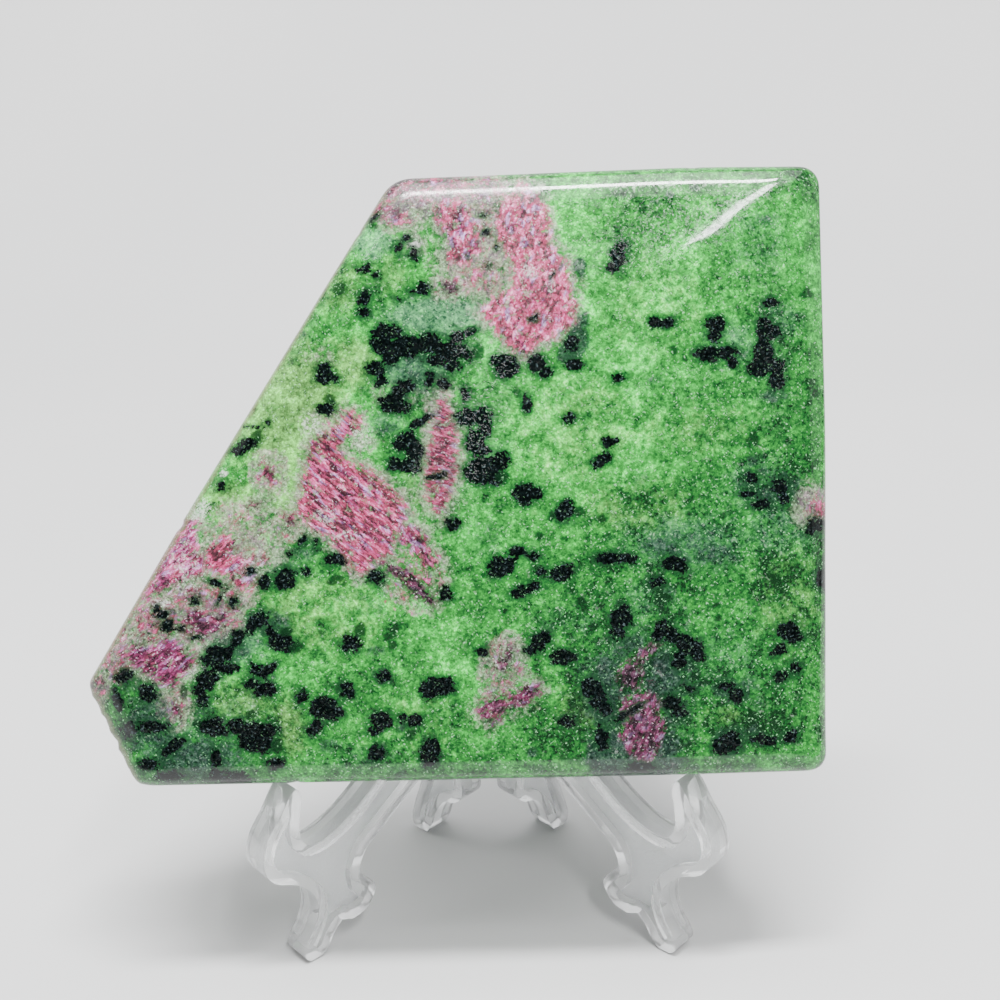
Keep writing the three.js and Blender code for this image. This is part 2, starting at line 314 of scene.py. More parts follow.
# %% Dark green spots
# Where a hornblende grain is thin, the green shines through it.
DARK_GREEN_SPOTS = [
    (-158, 572, 16, 15), (-117, 646, 8, 8), (2, 496, 14, 17), (29, 350, 16, 13), (46, 448, 8, 9),
    (-173, 445, 16, 9), (-256, 403, 12, 13), (387, 556, 17, 8), (389, 562, 6, 6), (320, 387, 16, 13),
    (322, 395, 8, 12), (287, 566, 6, 5), (231, 493, 8, 10), (242, 483, 6, 5), (385, 364, 9, 6, -30),
    (119, 349, 7, 4), (84, 302, 7, 9), (116, 308, 13, 12), (69, 280, 8, 9), (116, 202, 13, 9, -30),
    (121, 195, 7, 9), (-168, 234, 21, 10, 10), (-159, 230, 9, 8), (-142, 175, 14, 15), (-109, 166, 11, 9),
    (-104, 157, 10, 11), (-101, 175, 11, 7, 20), (-215, 156, 17, 12), (-229, 175, 15, 9),
    (-241, 42, 13, 17), (-286, 108, 9, 7), (103, 83, 9, 10), (-8, 24, 8, 5, 30), (264, 48, 9, 9),
    (257, 56, 9, 4, -40), (274, 195, 9, 5, 20), (275, 181, 7, 7), (283, 298, 9, 7), (244, 302, 7, 4),
    (-86, 52, 12, 12), (-348, 108, 8, 18), (-334, 70, 8, 7), (-272, 79, 12, 10), (-13, 244, 10, 6, 15),
    (2, 237, 7, 7), (-6, 524, 8, 6), (-27, 528, 7, 5), (392, 454, 12, 7), (336, 15, 6, 4), (99, 276, 9, 6),
    (142, 298, 10, 10),
]

# %% Clouds under the surface
# Each soft oval is x, y, width, height and strength.
GREY_CLOUDS = [
    (231, 675, 13, 11, 0.8), (214, 668, 17, 9, 0.7), (260, 683, 18, 9, 0.7), (167, 648, 10, 8, 0.4),
    (342, 645, 30, 16, 0.7), (120, 591, 16, 24, 0.9), (226, 553, 16, 10, 0.5), (216, 526, 36, 20, 0.6),
    (339, 544, 16, 10, 0.6), (117, 508, 28, 44, 1.3), (124, 530, 18, 20, 1.1), (106, 492, 24, 22, 1.2),
    (123, 592, 14, 22, 1.2), (-65, 502, 110, 40, 0.8), (-70, 462, 70, 40, 0.7), (165, 125, 70, 60, 0.75),
    (140, 90, 40, 80, 0.9), (185, 30, 70, 50, 1.3), (215, 120, 50, 50, 0.75), (180, 148, 60, 40, 0.7),
    (26, 106, 60, 90, 0.4), (180, 80, 110, 170, 0.75), (225, 165, 50, 50, 0.4), (-92, 446, 26, 18, 1.1),
    (154, 24, 60, 50, 1.6), (196, 8, 50, 24, 1.2), (-330, 26, 120, 50, 0.9), (-386, 74, 60, 80, 0.8),
    (-296, 156, 60, 50, 0.8), (-248, 184, 50, 40, 0.8), (360, 330, 40, 40, 0.6), (240, 266, 80, 36, 0.6),
    (300, 94, 40, 30, 0.7), (284, 36, 40, 34, 0.8), (210, 459, 16, 13, 0.6), (346, 438, 32, 16, 0.8),
    (117, 413, 24, 12, 0.6), (127, 404, 8, 7, 0.7), (188, 345, 26, 19, 0.6), (323, 363, 20, 16, 0.65),
    (332, 328, 55, 50, 0.55), (352, 290, 30, 24, 0.45), (210, 264, 46, 24, 0.75), (280, 250, 42, 38, 0.6),
    (6, 278, 24, 22, 0.5), (56, 259, 24, 14, 0.8), (214, 214, 30, 14, 0.6), (144, 386, 18, 12, 0.6),
    (-133, 455, 18, 12, 0.6), (-105, 409, 28, 13, 0.75), (-124, 150, 24, 13, 0.65),
    (-117, 120, 24, 22, 0.6), (284, 95, 34, 19, 0.8), (322, 79, 15, 15, 0.5), (313, 50, 18, 16, 0.6),
    (138, 44, 22, 30, 0.9), (132, 98, 36, 40, 0.7), (230, 128, 32, 30, 0.7), (-182, 42, 24, 17, 0.6),
    (-165, 213, 13, 9, 0.5), (359, 152, 32, 20, 0.6), (222, 13, 34, 16, 0.85), (244, 8, 14, 8, 0.7),
    (55, 29, 14, 12, 0.8), (58, 9, 26, 14, 0.6), (14, 13, 16, 12, 0.5), (-100, 9, 22, 17, 0.6),
    (-138, 21, 16, 12, 0.6), (282, 8, 12, 8, 0.6), (306, 7, 20, 10, 0.6), (379, 21, 15, 8, 0.5),
    (368, 8, 10, 6, 0.5), (369, 47, 10, 7, 0.6), (-92, 62, 24, 18, 0.6), (-42, 108, 24, 24, 0.6),
    (130, 5, 16, 7, 0.8), (180, 6, 36, 14, 0.8), (-388, 20, 46, 18, 0.7), (-396, 66, 54, 18, 0.8),
    (-410, 112, 26, 44, 0.6), (-326, 78, 30, 40, 0.6), (-364, 40, 36, 22, 0.6), (-298, 10, 54, 18, 0.8),
    (-298, 148, 50, 42, 0.55), (-262, 184, 36, 30, 0.55), (-256, 120, 42, 40, 0.55),
    (-229, 240, 40, 34, 0.7), (-198, 272, 44, 30, 0.55), (-62, 448, 60, 46, 0.5), (-80, 484, 80, 26, 0.7),
    (-130, 549, 26, 34, 0.5), (-82, 620, 32, 26, 0.6), (394, 226, 16, 26, 0.7), (392, 280, 24, 26, 0.6),
    (376, 272, 14, 10, 0.5), (-202, 519, 14, 14, 0.6), (-159, 537, 12, 12, 0.5), (-34, 226, 14, 12, 0.6),
    (6, 154, 20, 14, 0.5), (102, 294, 24, 14, 0.5), (-76, 170, 16, 8, 0.3), (-273, 399, 26, 20, 0.5),
    (-179, 424, 22, 16, 0.5), (28, 616, 14, 20, 0.5),
]

# %% Ruby on the face
# Each patch has its outline, then how bright it is, how far from rose towards magenta, the
# way its needles run in degrees, and how many times longer than broad they are. Patches at the
# rim run past it and onto the wall.
RUBY_PATCHES = [
    # the tall patch at the top
    ([(60, 694), (71, 684), (84, 666), (89, 645), (90, 614), (107, 601), (113, 576), (115, 550), (116, 530),
      (105, 514), (81, 508), (65, 500), (62, 490), (47, 492), (34, 505), (24, 521), (14, 533), (6, 542),
      (18, 557), (32, 565), (46, 570), (46, 586), (41, 604), (32, 618), (26, 632), (24, 655), (31, 670),
      (44, 684)], 1, 0.2, 65, 1.5),
    # its left-hand lobe
    ([(-37, 679), (-22, 680), (-9, 670), (-2, 652), (6, 634), (10, 616), (4, 604), (-12, 599), (-28, 596),
      (-34, 606), (-28, 620), (-34, 636), (-44, 652), (-46, 668)], 0.85, 0.3, 70, 1.4),
    ([(-2, 690), (12, 692), (22, 684), (16, 674), (2, 676)], 0.45, 0.9, 0, 1),
    ([(4, 590), (13, 590), (15, 575), (9, 572), (3, 580)], 0.7, 0.3, 70, 1.5),
    ([(-103, 660), (-82, 659), (-70, 652), (-86, 646), (-100, 649)], 0.5, 0.4, 20, 1.5),
    ([(-125, 660), (-109, 673), (-105, 665), (-114, 656)], 0.7, 0.4, 40, 1.5),
    ([(-110, 688), (-80, 708), (-45, 708), (-62, 696), (-84, 692), (-98, 679)], 0.35, 0.2, 30, 1.5),
    # the needle-shot patch left of the middle, and its two tails
    ([(-149, 431), (-137, 425), (-136, 412), (-147, 402), (-160, 394), (-163, 385), (-150, 373),
      (-132, 362), (-116, 351), (-102, 337), (-88, 324), (-82, 310), (-90, 300), (-98, 284), (-104, 264),
      (-122, 253), (-131, 242), (-143, 239), (-152, 249), (-161, 260), (-171, 275), (-183, 288),
      (-198, 296), (-211, 310), (-213, 323), (-206, 340), (-203, 360), (-198, 378), (-194, 395),
      (-180, 404), (-167, 410), (-156, 419)], 0.75, 0.3, -38, 3.2),
    ([(-96, 298), (-73, 293), (-63, 280), (-58, 264), (-51, 250), (-44, 237), (-52, 242), (-68, 248),
      (-78, 265), (-92, 274)], 0.5, 0.4, -55, 2.5),
    ([(-120, 256), (-101, 249), (-86, 246), (-74, 236), (-62, 220), (-51, 205), (-57, 201), (-73, 208),
      (-87, 220), (-99, 234), (-113, 245)], 0.25, 0.3, -48, 2),
    # the upright lens
    ([(-41, 449), (-31, 426), (-25, 400), (-25, 370), (-29, 345), (-38, 322), (-48, 306), (-57, 320),
      (-62, 345), (-63, 374), (-53, 392), (-50, 412), (-48, 430)], 0.55, 0.1, -18, 3.2),
    # the band that runs to the left edge
    ([(-364, 314), (-342, 312), (-329, 302), (-331, 284), (-329, 270), (-319, 262), (-324, 245),
      (-344, 236), (-364, 231), (-374, 222), (-386, 216), (-430, 210), (-410, 240), (-380, 280)], 0.95,
      0.75, 35, 2.6),
    ([(-304, 285), (-290, 289), (-286, 269), (-270, 261), (-250, 262), (-251, 254), (-263, 251),
      (-259, 240), (-266, 226), (-283, 223), (-296, 241), (-312, 245), (-324, 251), (-320, 272)], 0.8, 0.3,
      30, 2.2),
    ([(-318, 226), (-302, 227), (-300, 214), (-312, 209)], 0.65, 0.3, 60, 1.5),
    ([(-296, 220), (-284, 223), (-283, 215), (-293, 214)], 0.8, 0.5, 20, 1.5),
    ([(-354, 195), (-335, 205), (-320, 199), (-297, 198), (-295, 185), (-313, 170), (-326, 165),
      (-340, 178)], 0.4, 0.5, 10, 1.8),
    # magenta patch at the left point
    ([(-419, 154), (-404, 165), (-389, 161), (-372, 172), (-356, 170), (-345, 155), (-331, 148),
      (-338, 134), (-352, 124), (-362, 112), (-374, 118), (-387, 126), (-401, 133), (-411, 144)], 0.58, 0.9,
      30, 2.6),
    ([(-362, 92), (-353, 93), (-352, 77), (-360, 78)], 0.35, 0.6, 80, 1.5),
    ([(-426, 192), (-414, 192), (-412, 175), (-426, 172), (-434, 180)], 0.6, 0.3, 60, 1.5),
    ([(-470, 130), (-454, 134), (-449, 120), (-456, 110), (-470, 110)], 0.3, 0.4, 60, 1.5),
    ([(-286, 312), (-275, 315), (-270, 306), (-279, 301)], 0.65, 0.5, 20, 1.5),
    ([(-272, 322), (-252, 329), (-251, 324), (-268, 317)], 0.3, 0.6, 20, 2),
    ([(-229, 312), (-218, 310), (-212, 299), (-224, 298)], 0.4, 0.2, -20, 1.5),
    ([(-249, 370), (-238, 369), (-236, 354), (-244, 348), (-252, 358)], 0.4, 0.2, 70, 1.5),
    ([(-263, 295), (-253, 295), (-255, 285), (-263, 287)], 0.35, 0.3, 40, 1.5),
    ([(-39, 579), (-22, 579), (-20, 566), (-33, 564)], 0.3, 0.3, 30, 1.5),
    # bottom middle
    ([(-9, 79), (2, 89), (14, 97), (26, 91), (40, 103), (52, 107), (67, 108), (67, 98), (56, 87), (42, 83),
      (26, 78), (20, 68), (9, 60), (0, 69)], 0.42, 0.85, 30, 2.2),
    ([(32, 153), (39, 151), (37, 140), (31, 126), (24, 115), (18, 125), (9, 128), (16, 134), (24, 142)],
      0.3, 0.7, 75, 2),
    # lower right
    ([(184, 130), (194, 140), (204, 150), (196, 153), (184, 144), (170, 134), (158, 121), (155, 110),
      (166, 103), (178, 100), (185, 114)], 0.24, 0.7, 55, 1.6),
    ([(156, 46), (165, 64), (158, 77), (168, 89), (182, 95), (198, 92), (207, 85), (203, 72), (210, 56),
      (205, 34), (195, 18), (185, 10), (172, 17), (162, 30)], 0.40, 1.2, 60, 1.6),
    # on the right edge
    ([(394, 304), (420, 312), (420, 292), (398, 293)], 0.6, 0.1, 80, 1.5),
]

# Where ruby is only scattered as single grains: soft ovals with a strength.
RUBY_MIST = [
    (-50, 688, 120, 40, 0.9), (16, 686, 50, 30, 0.8), (-96, 660, 40, 24, 0.9), (14, 640, 30, 70, 0.6),
    (10, 586, 70, 40, 0.7), (-26, 574, 50, 30, 0.5), (-330, 200, 110, 70, 0.8), (-386, 190, 60, 50, 0.8),
    (-426, 150, 40, 60, 0.8), (-280, 294, 80, 60, 0.5), (-244, 360, 40, 50, 0.6), (-164, 410, 50, 40, 0.5),
    (-230, 296, 50, 40, 0.5), (-80, 240, 70, 80, 0.6), (-44, 380, 34, 140, 0.6), (24, 124, 50, 80, 0.6),
    (184, 90, 70, 130, 0.25), (-360, 90, 40, 50, 0.5), (396, 304, 30, 40, 0.8), (-450, 116, 30, 40, 0.6),
]

# %% Soft zones of colour in the ground; the pale and deep zones also hold painted light and shade
# Mauve and grey rims round the rubies: x, y, width, height, strength.
GREY_RIMS = [
    (-80, 674, 80, 56, 1), (-15, 672, 90, 60, 0.95), (13, 643, 36, 55, 1), (0, 606, 90, 50, 0.9),
    (10, 576, 90, 45, 0.6), (-68, 626, 34, 34, 0.6), (120, 565, 20, 60, 0.5), (-44, 380, 46, 150, 0.8),
    (-142, 396, 54, 40, 0.6), (-172, 422, 60, 30, 0.6), (-86, 264, 60, 60, 0.4), (-90, 228, 60, 46, 0.3),
    (-96, 446, 60, 40, 0.5), (-330, 260, 50, 50, 0.8), (-300, 265, 50, 60, 0.8), (-380, 190, 70, 50, 0.75),
    (-320, 195, 80, 70, 0.8), (-270, 268, 50, 60, 0.8), (-240, 268, 40, 40, 0.6), (-426, 168, 34, 80, 0.9),
    (-285, 224, 50, 50, 0.7), (-278, 314, 60, 36, 0.6), (-222, 306, 36, 26, 0.6), (-243, 360, 30, 36, 0.5),
    (-360, 96, 46, 56, 0.7), (-376, 142, 96, 66, 0.5), (-446, 120, 30, 60, 0.7), (24, 130, 50, 60, 0.45),
    (20, 100, 60, 36, 0.3), (182, 80, 80, 150, 0.2), (214, 110, 46, 50, 0.25), (186, 164, 60, 50, 0.25),
    (388, 306, 44, 54, 0.85), (-178, 496, 40, 30, 0.4), (-336, 140, 30, 30, 0.5), (-290, 178, 50, 30, 0.4),
]
WHITE_HAZE = [
    (29, 132, 40, 56, 0.12), (-346, 256, 30, 60, 0.35), (-270, 250, 30, 20, 0.5), (-328, 320, 32, 24, 0.6),
    (-68, 623, 14, 8, 0.9), (-372, 210, 24, 10, 0.6), (-176, 310, 24, 24, 0.35), (-156, 284, 30, 16, 0.4),
    (63, 590, 26, 18, 0.5), (88, 572, 12, 16, 0.5), (-310, 120, 20, 20, 0.3), (-194, 416, 24, 24, 0.4),
    (-136, 398, 26, 26, 0.35), (-296, 361, 10, 8, 0.8), (-330, 129, 24, 18, 0.4),
]
# Where the rock stays dark right up to a ruby, with hardly any pale rim.
DARK_SURROUNDINGS = [
    (184, 85, 120, 200, 1), (42, 70, 90, 80, 0.35), (-75, 240, 60, 70, 0.4),
]
# Where the black spots are small and broken.
FAINT_SPOTS = [
    (-100, 605, 120, 140, 1), (16, 620, 90, 120, 1), (-220, 280, 90, 60, 0.7), (-330, 200, 120, 70, 0.7),
    (-60, 475, 140, 90, 0.35), (-230, 440, 140, 160, 0.5), (80, 560, 60, 100, 0.8),
]
YELLOW_GROUND = [
    (110, 400, 140, 120, 0.4), (210, 550, 120, 100, 0.3), (-175, 195, 140, 90, 0.45),
    (-220, 430, 130, 150, 1), (-144, 484, 50, 60, 0.8), (-224, 336, 50, 80, 1), (-160, 575, 60, 60, 0.5),
    (-284, 326, 80, 50, 0.8), (-260, 290, 40, 30, 0.7), (-282, 96, 70, 50, 0.6), (-204, 210, 90, 60, 0.5),
    (-226, 66, 40, 70, 0.6), (-70, 340, 40, 60, 0.5), (180, 310, 120, 60, 0.4), (110, 80, 50, 50, 0.5),
    (-360, 226, 50, 24, 0.7), (-400, 204, 30, 24, 0.6), (280, 66, 40, 24, 0.4), (250, 400, 140, 60, 0.3),
    (-100, 590, 40, 50, 0.5), (360, 200, 80, 140, 0.35), (-120, 350, 30, 30, 0.3), (-370, 90, 30, 24, 0.3),
    (-80, 80, 120, 80, 0.25),
]
TEAL_GROUND = [
    (-295, 170, 80, 70, 0.9), (300, 500, 80, 60, 0.6), (-290, 80, 60, 50, 0.5), (-40, 540, 130, 46, 1),
    (-120, 626, 50, 40, 0.9), (-76, 476, 90, 40, 0.9), (-106, 414, 60, 34, 0.6), (356, 526, 60, 40, 0.6),
    (330, 620, 80, 90, 0.45), (240, 270, 160, 70, 0.65), (270, 130, 140, 90, 0.45),
    (350, 280, 100, 60, 0.6), (330, 330, 90, 70, 0.6), (-150, 24, 120, 40, 0.4), (-370, 60, 120, 80, 0.6),
    (-310, 50, 70, 80, 0.5), (100, 180, 90, 50, 0.45), (190, 200, 100, 50, 0.5), (220, 110, 80, 60, 0.6),
    (20, 378, 50, 40, 0.4), (-224, 250, 70, 60, 0.5), (-130, 206, 50, 40, 0.4), (-280, 154, 90, 60, 0.5),
    (126, 120, 50, 50, 0.5), (205, 465, 50, 40, 0.3), (0, 280, 60, 60, 0.35), (-350, 120, 160, 160, 0.35),
]
# Paler zones in the middle and upper right: partly a paler green ground, partly painted light where the
# upper face turns to the light above.
PALE_GROUND_AND_PAINTED_LIGHT = [
    (110, 400, 150, 130, 1), (280, 550, 100, 80, 0.5), (230, 595, 100, 80, 0.8), (50, 255, 90, 80, 0.7),
    (345, 80, 90, 70, 0.35), (105, 80, 50, 140, 0.6), (210, 560, 120, 110, 0.9), (140, 460, 140, 120, 0.7),
    (110, 650, 80, 90, 0.6), (140, 530, 50, 100, 0.6), (115, 330, 80, 50, 0.5), (190, 415, 90, 60, 0.45),
    (280, 650, 80, 90, 0.5), (18, 520, 20, 60, 0.5), (-50, 578, 50, 60, 0.3), (-220, 420, 140, 140, 0.6),
    (-30, 600, 100, 160, 0.3), (-74, 200, 100, 80, 0.2), (36, 290, 80, 50, 0.35),
    (-290, 310, 120, 100, 0.5), (-276, 150, 30, 30, 0.4),
]
# Darker zones, mostly towards the bottom of the face: partly a deeper green ground, partly painted shade
# where the face gets less of the light from above.
DEEP_GROUND_AND_PAINTED_SHADE = [
    (240, 220, 340, 180, 0.6), (190, 80, 240, 180, 0.85), (80, 120, 160, 140, 0.35),
    (200, 220, 90, 70, 0.8), (50, 80, 70, 70, 0.5), (340, 350, 90, 100, 0.8), (-255, 80, 80, 70, 0.5),
    (-190, 30, 90, 50, 0.5), (-360, 60, 160, 100, 0.5), (340, 440, 120, 300, 0.35), (-80, 20, 400, 40, 0.3),
    (-420, 100, 60, 100, 0.5), (260, 50, 260, 50, 1.1), (-60, 676, 150, 60, 0.8),
]
print(len(RUBY_PATCHES), "ruby patches")

# %% [markdown]
# ### The sides that are turned away
#
# The wall and the back are the same rock, so they get the same minerals. Spots on the face
# reach a little way down the wall. The back has large patches of its own, where the biggest
# rubies come through, and a seeded scatter of spots.

# %% How far each vertex is inside each mineral
SKIN_START = 3.0  # the face and its rounded rim are everything above this height
RUBY_TAPER = 0.3  # how fast a patch on the face narrows down the wall
BACK_RUBY_TAPER = 0.9
BACK_SPOT_COUNT = 150
FAINT_LOSS = 0.34
HALO_WIDTH = 1.9
HALO_STRENGTH = 0.64
NEEDLE_SCALE = 1.35
SIDE_FADE = 2.5  # how far past the rim a mark on one side fades out
BACK_SPOT_SIZES = (0.4, 1.7)
BACK_BLACK_SHARE = 0.75
MIST_BRIGHTNESS = 0.6
MIST_MAGENTA = 0.45
KNAPPED_WEAR = 0.9  # how far in from each edge the wear reaches
SLOPE_WEAR = 0.7
SLOPE_TOP = np.array([-13.0, 64.5])
FAR_OUTSIDE = -5.0
ZONE_END = 1.6  # a soft oval is full to 0.6 of its half width, and gone at 1.6

BACK_RUBY = [
    ([(20, 660), (90, 620), (110, 540), (60, 490), (10, 550)], 0.8, 0.3, 60, 2),
    ([(-200, 360), (-120, 350), (-90, 280), (-150, 250), (-200, 300)], 0.9, 0.4, -30, 2),
    ([(-370, 250), (-300, 280), (-270, 220), (-330, 200)], 0.6, 0.7, 30, 2),
    ([(140, 120), (210, 140), (220, 60), (170, 30), (140, 70)], 0.7, 0.8, 60, 2),
    ([(240, 400), (300, 440), (330, 370), (280, 340)], 0.5, 0.3, 20, 2),
]
BACK_RIMS = [
    (60, 570, 140, 200, 0.6), (-150, 310, 150, 140, 0.6), (-320, 230, 140, 120, 0.7),
    (180, 80, 120, 140, 0.7), (280, 390, 120, 120, 0.6),
]

x, y = seen.T
z = skin[:, 2]
below_face = np.maximum(0, SKIN_START - z)
above_back = np.maximum(0, SKIN_START + z)


def inside_ovals(ovals, buried):
    """How deep each vertex is inside the nearest oval in mm, and less than zero outside."""
    deepest = np.full(len(skin), FAR_OUTSIDE)
    for spot in ovals:
        middle_x, middle_y, width, height = (tenth / 10 for tenth in spot[:4])
        turn = math.radians(spot[4] if len(spot) > 4 else 0)
        c, s = math.cos(turn), math.sin(turn)
        along = ((x - middle_x) * c + (y - middle_y) * s) / (width / 2)
        across = ((y - middle_y) * c - (x - middle_x) * s) / (height / 2)
        down = buried / (max(width, height) / 2)
        reach = np.sqrt(along**2 + across**2 + down**2)
        deepest = np.maximum(deepest, (1 - reach) * math.sqrt(width * height) / 2)
    return deepest


def inside_outline(outline):
    """Signed distance in mm from each vertex to an outline, above zero inside."""
    nearest = np.full(len(skin), 1e9)
    inside = np.zeros(len(skin), bool)
    corners = [(corner_x / 10, corner_y / 10) for corner_x, corner_y in outline]
    for (ax, ay), (bx, by) in zip(corners, corners[1:] + corners[:1]):
        span_x, span_y = bx - ax, by - ay
        share = ((x - ax) * span_x + (y - ay) * span_y) / (span_x**2 + span_y**2)
        share = np.clip(share, 0, 1)
        nearest = np.minimum(nearest, np.hypot(x - ax - share * span_x, y - ay - share * span_y))
        if ay != by:
            crosses = (ay > y) != (by > y)
            inside ^= crosses & (x < ax + (y - ay) * span_x / span_y)
    return np.where(inside, nearest, -nearest)


def in_zones(zones):
    """How strongly each vertex lies in soft ovals, from 0 to the nearest oval's strength."""
    amount = np.zeros(len(skin))
    for *oval, strength in zones:
        middle_x, middle_y, width, height = (tenth / 10 for tenth in oval)
        reach = np.hypot((x - middle_x) / (width / 2), (y - middle_y) / (height / 2))
        amount = np.maximum(amount, strength * np.clip(ZONE_END - reach, 0, 1))
    return amount


# %% Spots, rubies and zones
on_face = np.clip(1 - below_face / SIDE_FADE, 0, 1)
on_back = np.clip(1 - above_back / SIDE_FADE, 0, 1)

black = inside_ovals(BLACK_SPOTS, below_face) - FAINT_LOSS * in_zones(FAINT_SPOTS)
dark_green = inside_ovals(DARK_GREEN_SPOTS, below_face)

seeds = np.column_stack((x, y, z))[z < 1.5]
for middle in seeds[rng.choice(len(seeds), BACK_SPOT_COUNT, replace=False)]:
    size = rng.uniform(*BACK_SPOT_SIZES) * (1, 1, 0.8)[rng.integers(3)]
    squash = rng.uniform(0.6, 1.4)
    gap = np.sqrt(
        ((x - middle[0]) * squash) ** 2 + ((y - middle[1]) / squash) ** 2 + (z - middle[2]) ** 2
    )
    spot = size - gap
    if rng.random() < BACK_BLACK_SHARE:
        black = np.maximum(black, spot)
    else:
        dark_green = np.maximum(dark_green, spot)

ruby = np.full(len(skin), FAR_OUTSIDE)
brightness = np.zeros(len(skin))
magenta = np.zeros(len(skin))
needle_turn = np.zeros(len(skin))
needle_length = np.ones(len(skin))
both_sides = [(*patch, below_face) for patch in RUBY_PATCHES]
both_sides += [(*patch, above_back) for patch in BACK_RUBY]
for outline, patch_brightness, patch_magenta, turn, stretch, buried in both_sides:
    taper = RUBY_TAPER if buried is below_face else BACK_RUBY_TAPER
    depth = inside_outline(outline) - taper * buried
    nearer = depth > ruby
    ruby[nearer] = depth[nearer]
    brightness[nearer] = patch_brightness
    magenta[nearer] = patch_magenta
    needle_turn[nearer] = math.radians(turn)
    needle_length[nearer] = stretch

# A mist lies about at a patch's edge, so only some of its grains show.
ruby_certain = ruby.copy()
mist_zone = in_zones(RUBY_MIST) * (1 - on_back)
mist = np.minimum(mist_zone * 1.3 - 0.95, mist_zone * 12 - 3.2)
scattered = mist > ruby
ruby[scattered] = mist[scattered]
brightness[scattered] = MIST_BRIGHTNESS
magenta[scattered] = MIST_MAGENTA

clouds = in_zones(GREY_CLOUDS) * on_face * (1 - 0.8 * np.clip(ruby_certain + 0.7, 0, 1))
grey_rims = np.maximum(in_zones(GREY_RIMS) * (1 - on_back), in_zones(BACK_RIMS) * on_back)
halo = HALO_STRENGTH * np.clip(1.2 + ruby / HALO_WIDTH, 0, 1) * (ruby_certain > -HALO_WIDTH)
grey_rims = np.maximum(grey_rims, halo) * (1 - 0.9 * in_zones(DARK_SURROUNDINGS))

# The knapped edge at the lower left, and the worn line down the sloping edge, are pale brown.
edge_wear = np.clip(1 - edge_inset / KNAPPED_WEAR, 0, 1) * on_knapped_edge
slope_run = (LEFT_POINT - SLOPE_TOP) / np.linalg.norm(LEFT_POINT - SLOPE_TOP)
slope_inset = np.abs((x - SLOPE_TOP[0]) * slope_run[1] - (y - SLOPE_TOP[1]) * slope_run[0])
edge_wear = np.maximum(edge_wear, 0.8 * np.clip(1 - slope_inset / SLOPE_WEAR, 0, 1))

slender = np.sqrt(needle_length)
along_needle = (x * np.cos(needle_turn) + y * np.sin(needle_turn)) / slender
across_needle = (y * np.cos(needle_turn) - x * np.sin(needle_turn)) * slender
needles = NEEDLE_SCALE * np.column_stack((along_needle, across_needle, z))

# %% Keep them on the skin
def keep(name, values):
    """Stores one number or one vector for each vertex of the slice."""
    flat = np.asarray(values, np.float32)
    kind = "FLOAT" if flat.ndim == 1 else "FLOAT_VECTOR"
    layer = stone.data.attributes.new(name, kind, "POINT")
    layer.data.foreach_set("value" if flat.ndim == 1 else "vector", flat.ravel())


for name, values in {
    "black": np.clip(black, -4, 4), "dark_green": np.clip(dark_green, -4, 4),
    "ruby": np.clip(ruby, -4, 4), "brightness": brightness, "magenta": magenta,
    "needles": needles, "flat": skin, "clouds": clouds, "grey_rims": grey_rims,
    "white_haze": in_zones(WHITE_HAZE) * on_face, "yellow": in_zones(YELLOW_GROUND),
    "teal": in_zones(TEAL_GROUND), "pale": in_zones(PALE_GROUND_AND_PAINTED_LIGHT) * (1 - on_back),
    "deep": in_zones(DEEP_GROUND_AND_PAINTED_SHADE), "edge_wear": edge_wear,
}.items():
    keep(name, values)
print("share of black skin:", round(float((black > 0).mean()), 3))
print("share of ruby skin:", round(float((ruby > 0).mean()), 3))

# %% Back into the model's frame
stone.data.transform(face_to_model)
bpy.ops.object.shade_smooth()

# %% [markdown]
# ## Wiring a finish
#
# A procedural finish is a tree of nodes. These few helpers add a node to the tree in hand, and
# plug numbers, colours or other nodes' outputs into it, so each finish below reads from top to
# bottom.

# %% Helpers for finishes
def new_finish(name):
    """A material with an empty tree, and the tree itself."""
    finish = bpy.data.materials.new(name)
    finish.use_nodes = True
    finish.node_tree.nodes.clear()
    return finish, finish.node_tree


def add(kind, plugs, **settings):
    """Adds a node to the tree in hand, with values or sockets plugged into its inputs."""
    made = tree.nodes.new("ShaderNode" + kind)
    for name, value in settings.items():
        setattr(made, name, value)
    for name, value in plugs.items():
        if isinstance(value, bpy.types.NodeSocket):
            tree.links.new(value, made.inputs[name])
        else:
            made.inputs[name].default_value = value
    return made


def kept(name, output="Fac"):
    """What the skin keeps under this name."""
    return add("Attribute", {}, attribute_name=name).outputs[output]


def sums(operation, *values):
    return add("Math", dict(enumerate(values)), operation=operation).outputs[0]


def times(first, second):
    return sums("MULTIPLY", first, second)


def plus(base, value, factor):
    """The base with a factor of the value added."""
    return sums("MULTIPLY_ADD", value, factor, base)


def swayed(base, *patterns):
    """The base, shifted by how far each pattern is from its middle value, times its amount."""
    for pattern, amount in patterns:
        base = plus(base, sums("SUBTRACT", pattern, 0.5), amount)
    return base


def fade(value, low, high):
    """0 where the value is at or below low, 1 at or above high, and smooth between."""
    plugs = {"Value": value, "From Min": low, "From Max": high}
    return add("MapRange", plugs, interpolation_type="SMOOTHSTEP").outputs["Result"]


def over(amount, under, top):
    """The top colour laid over the under colour by an amount."""
    return add("Mix", {0: amount, 6: under, 7: top}, data_type="RGBA").outputs[2]


def shades(amount, *stops):
    """A colour ramp. Each stop is a place, then red, green and blue in thousandths."""
    ramp = add("ValToRGB", {"Fac": amount})
    band = ramp.color_ramp
    while len(band.elements) < len(stops):
        band.elements.new(0.5)
    for element, (spot, *colour) in zip(band.elements, stops):
        element.position = spot
        element.color = (*(part / 1000 for part in colour), 1)
    return ramp.outputs["Color"]


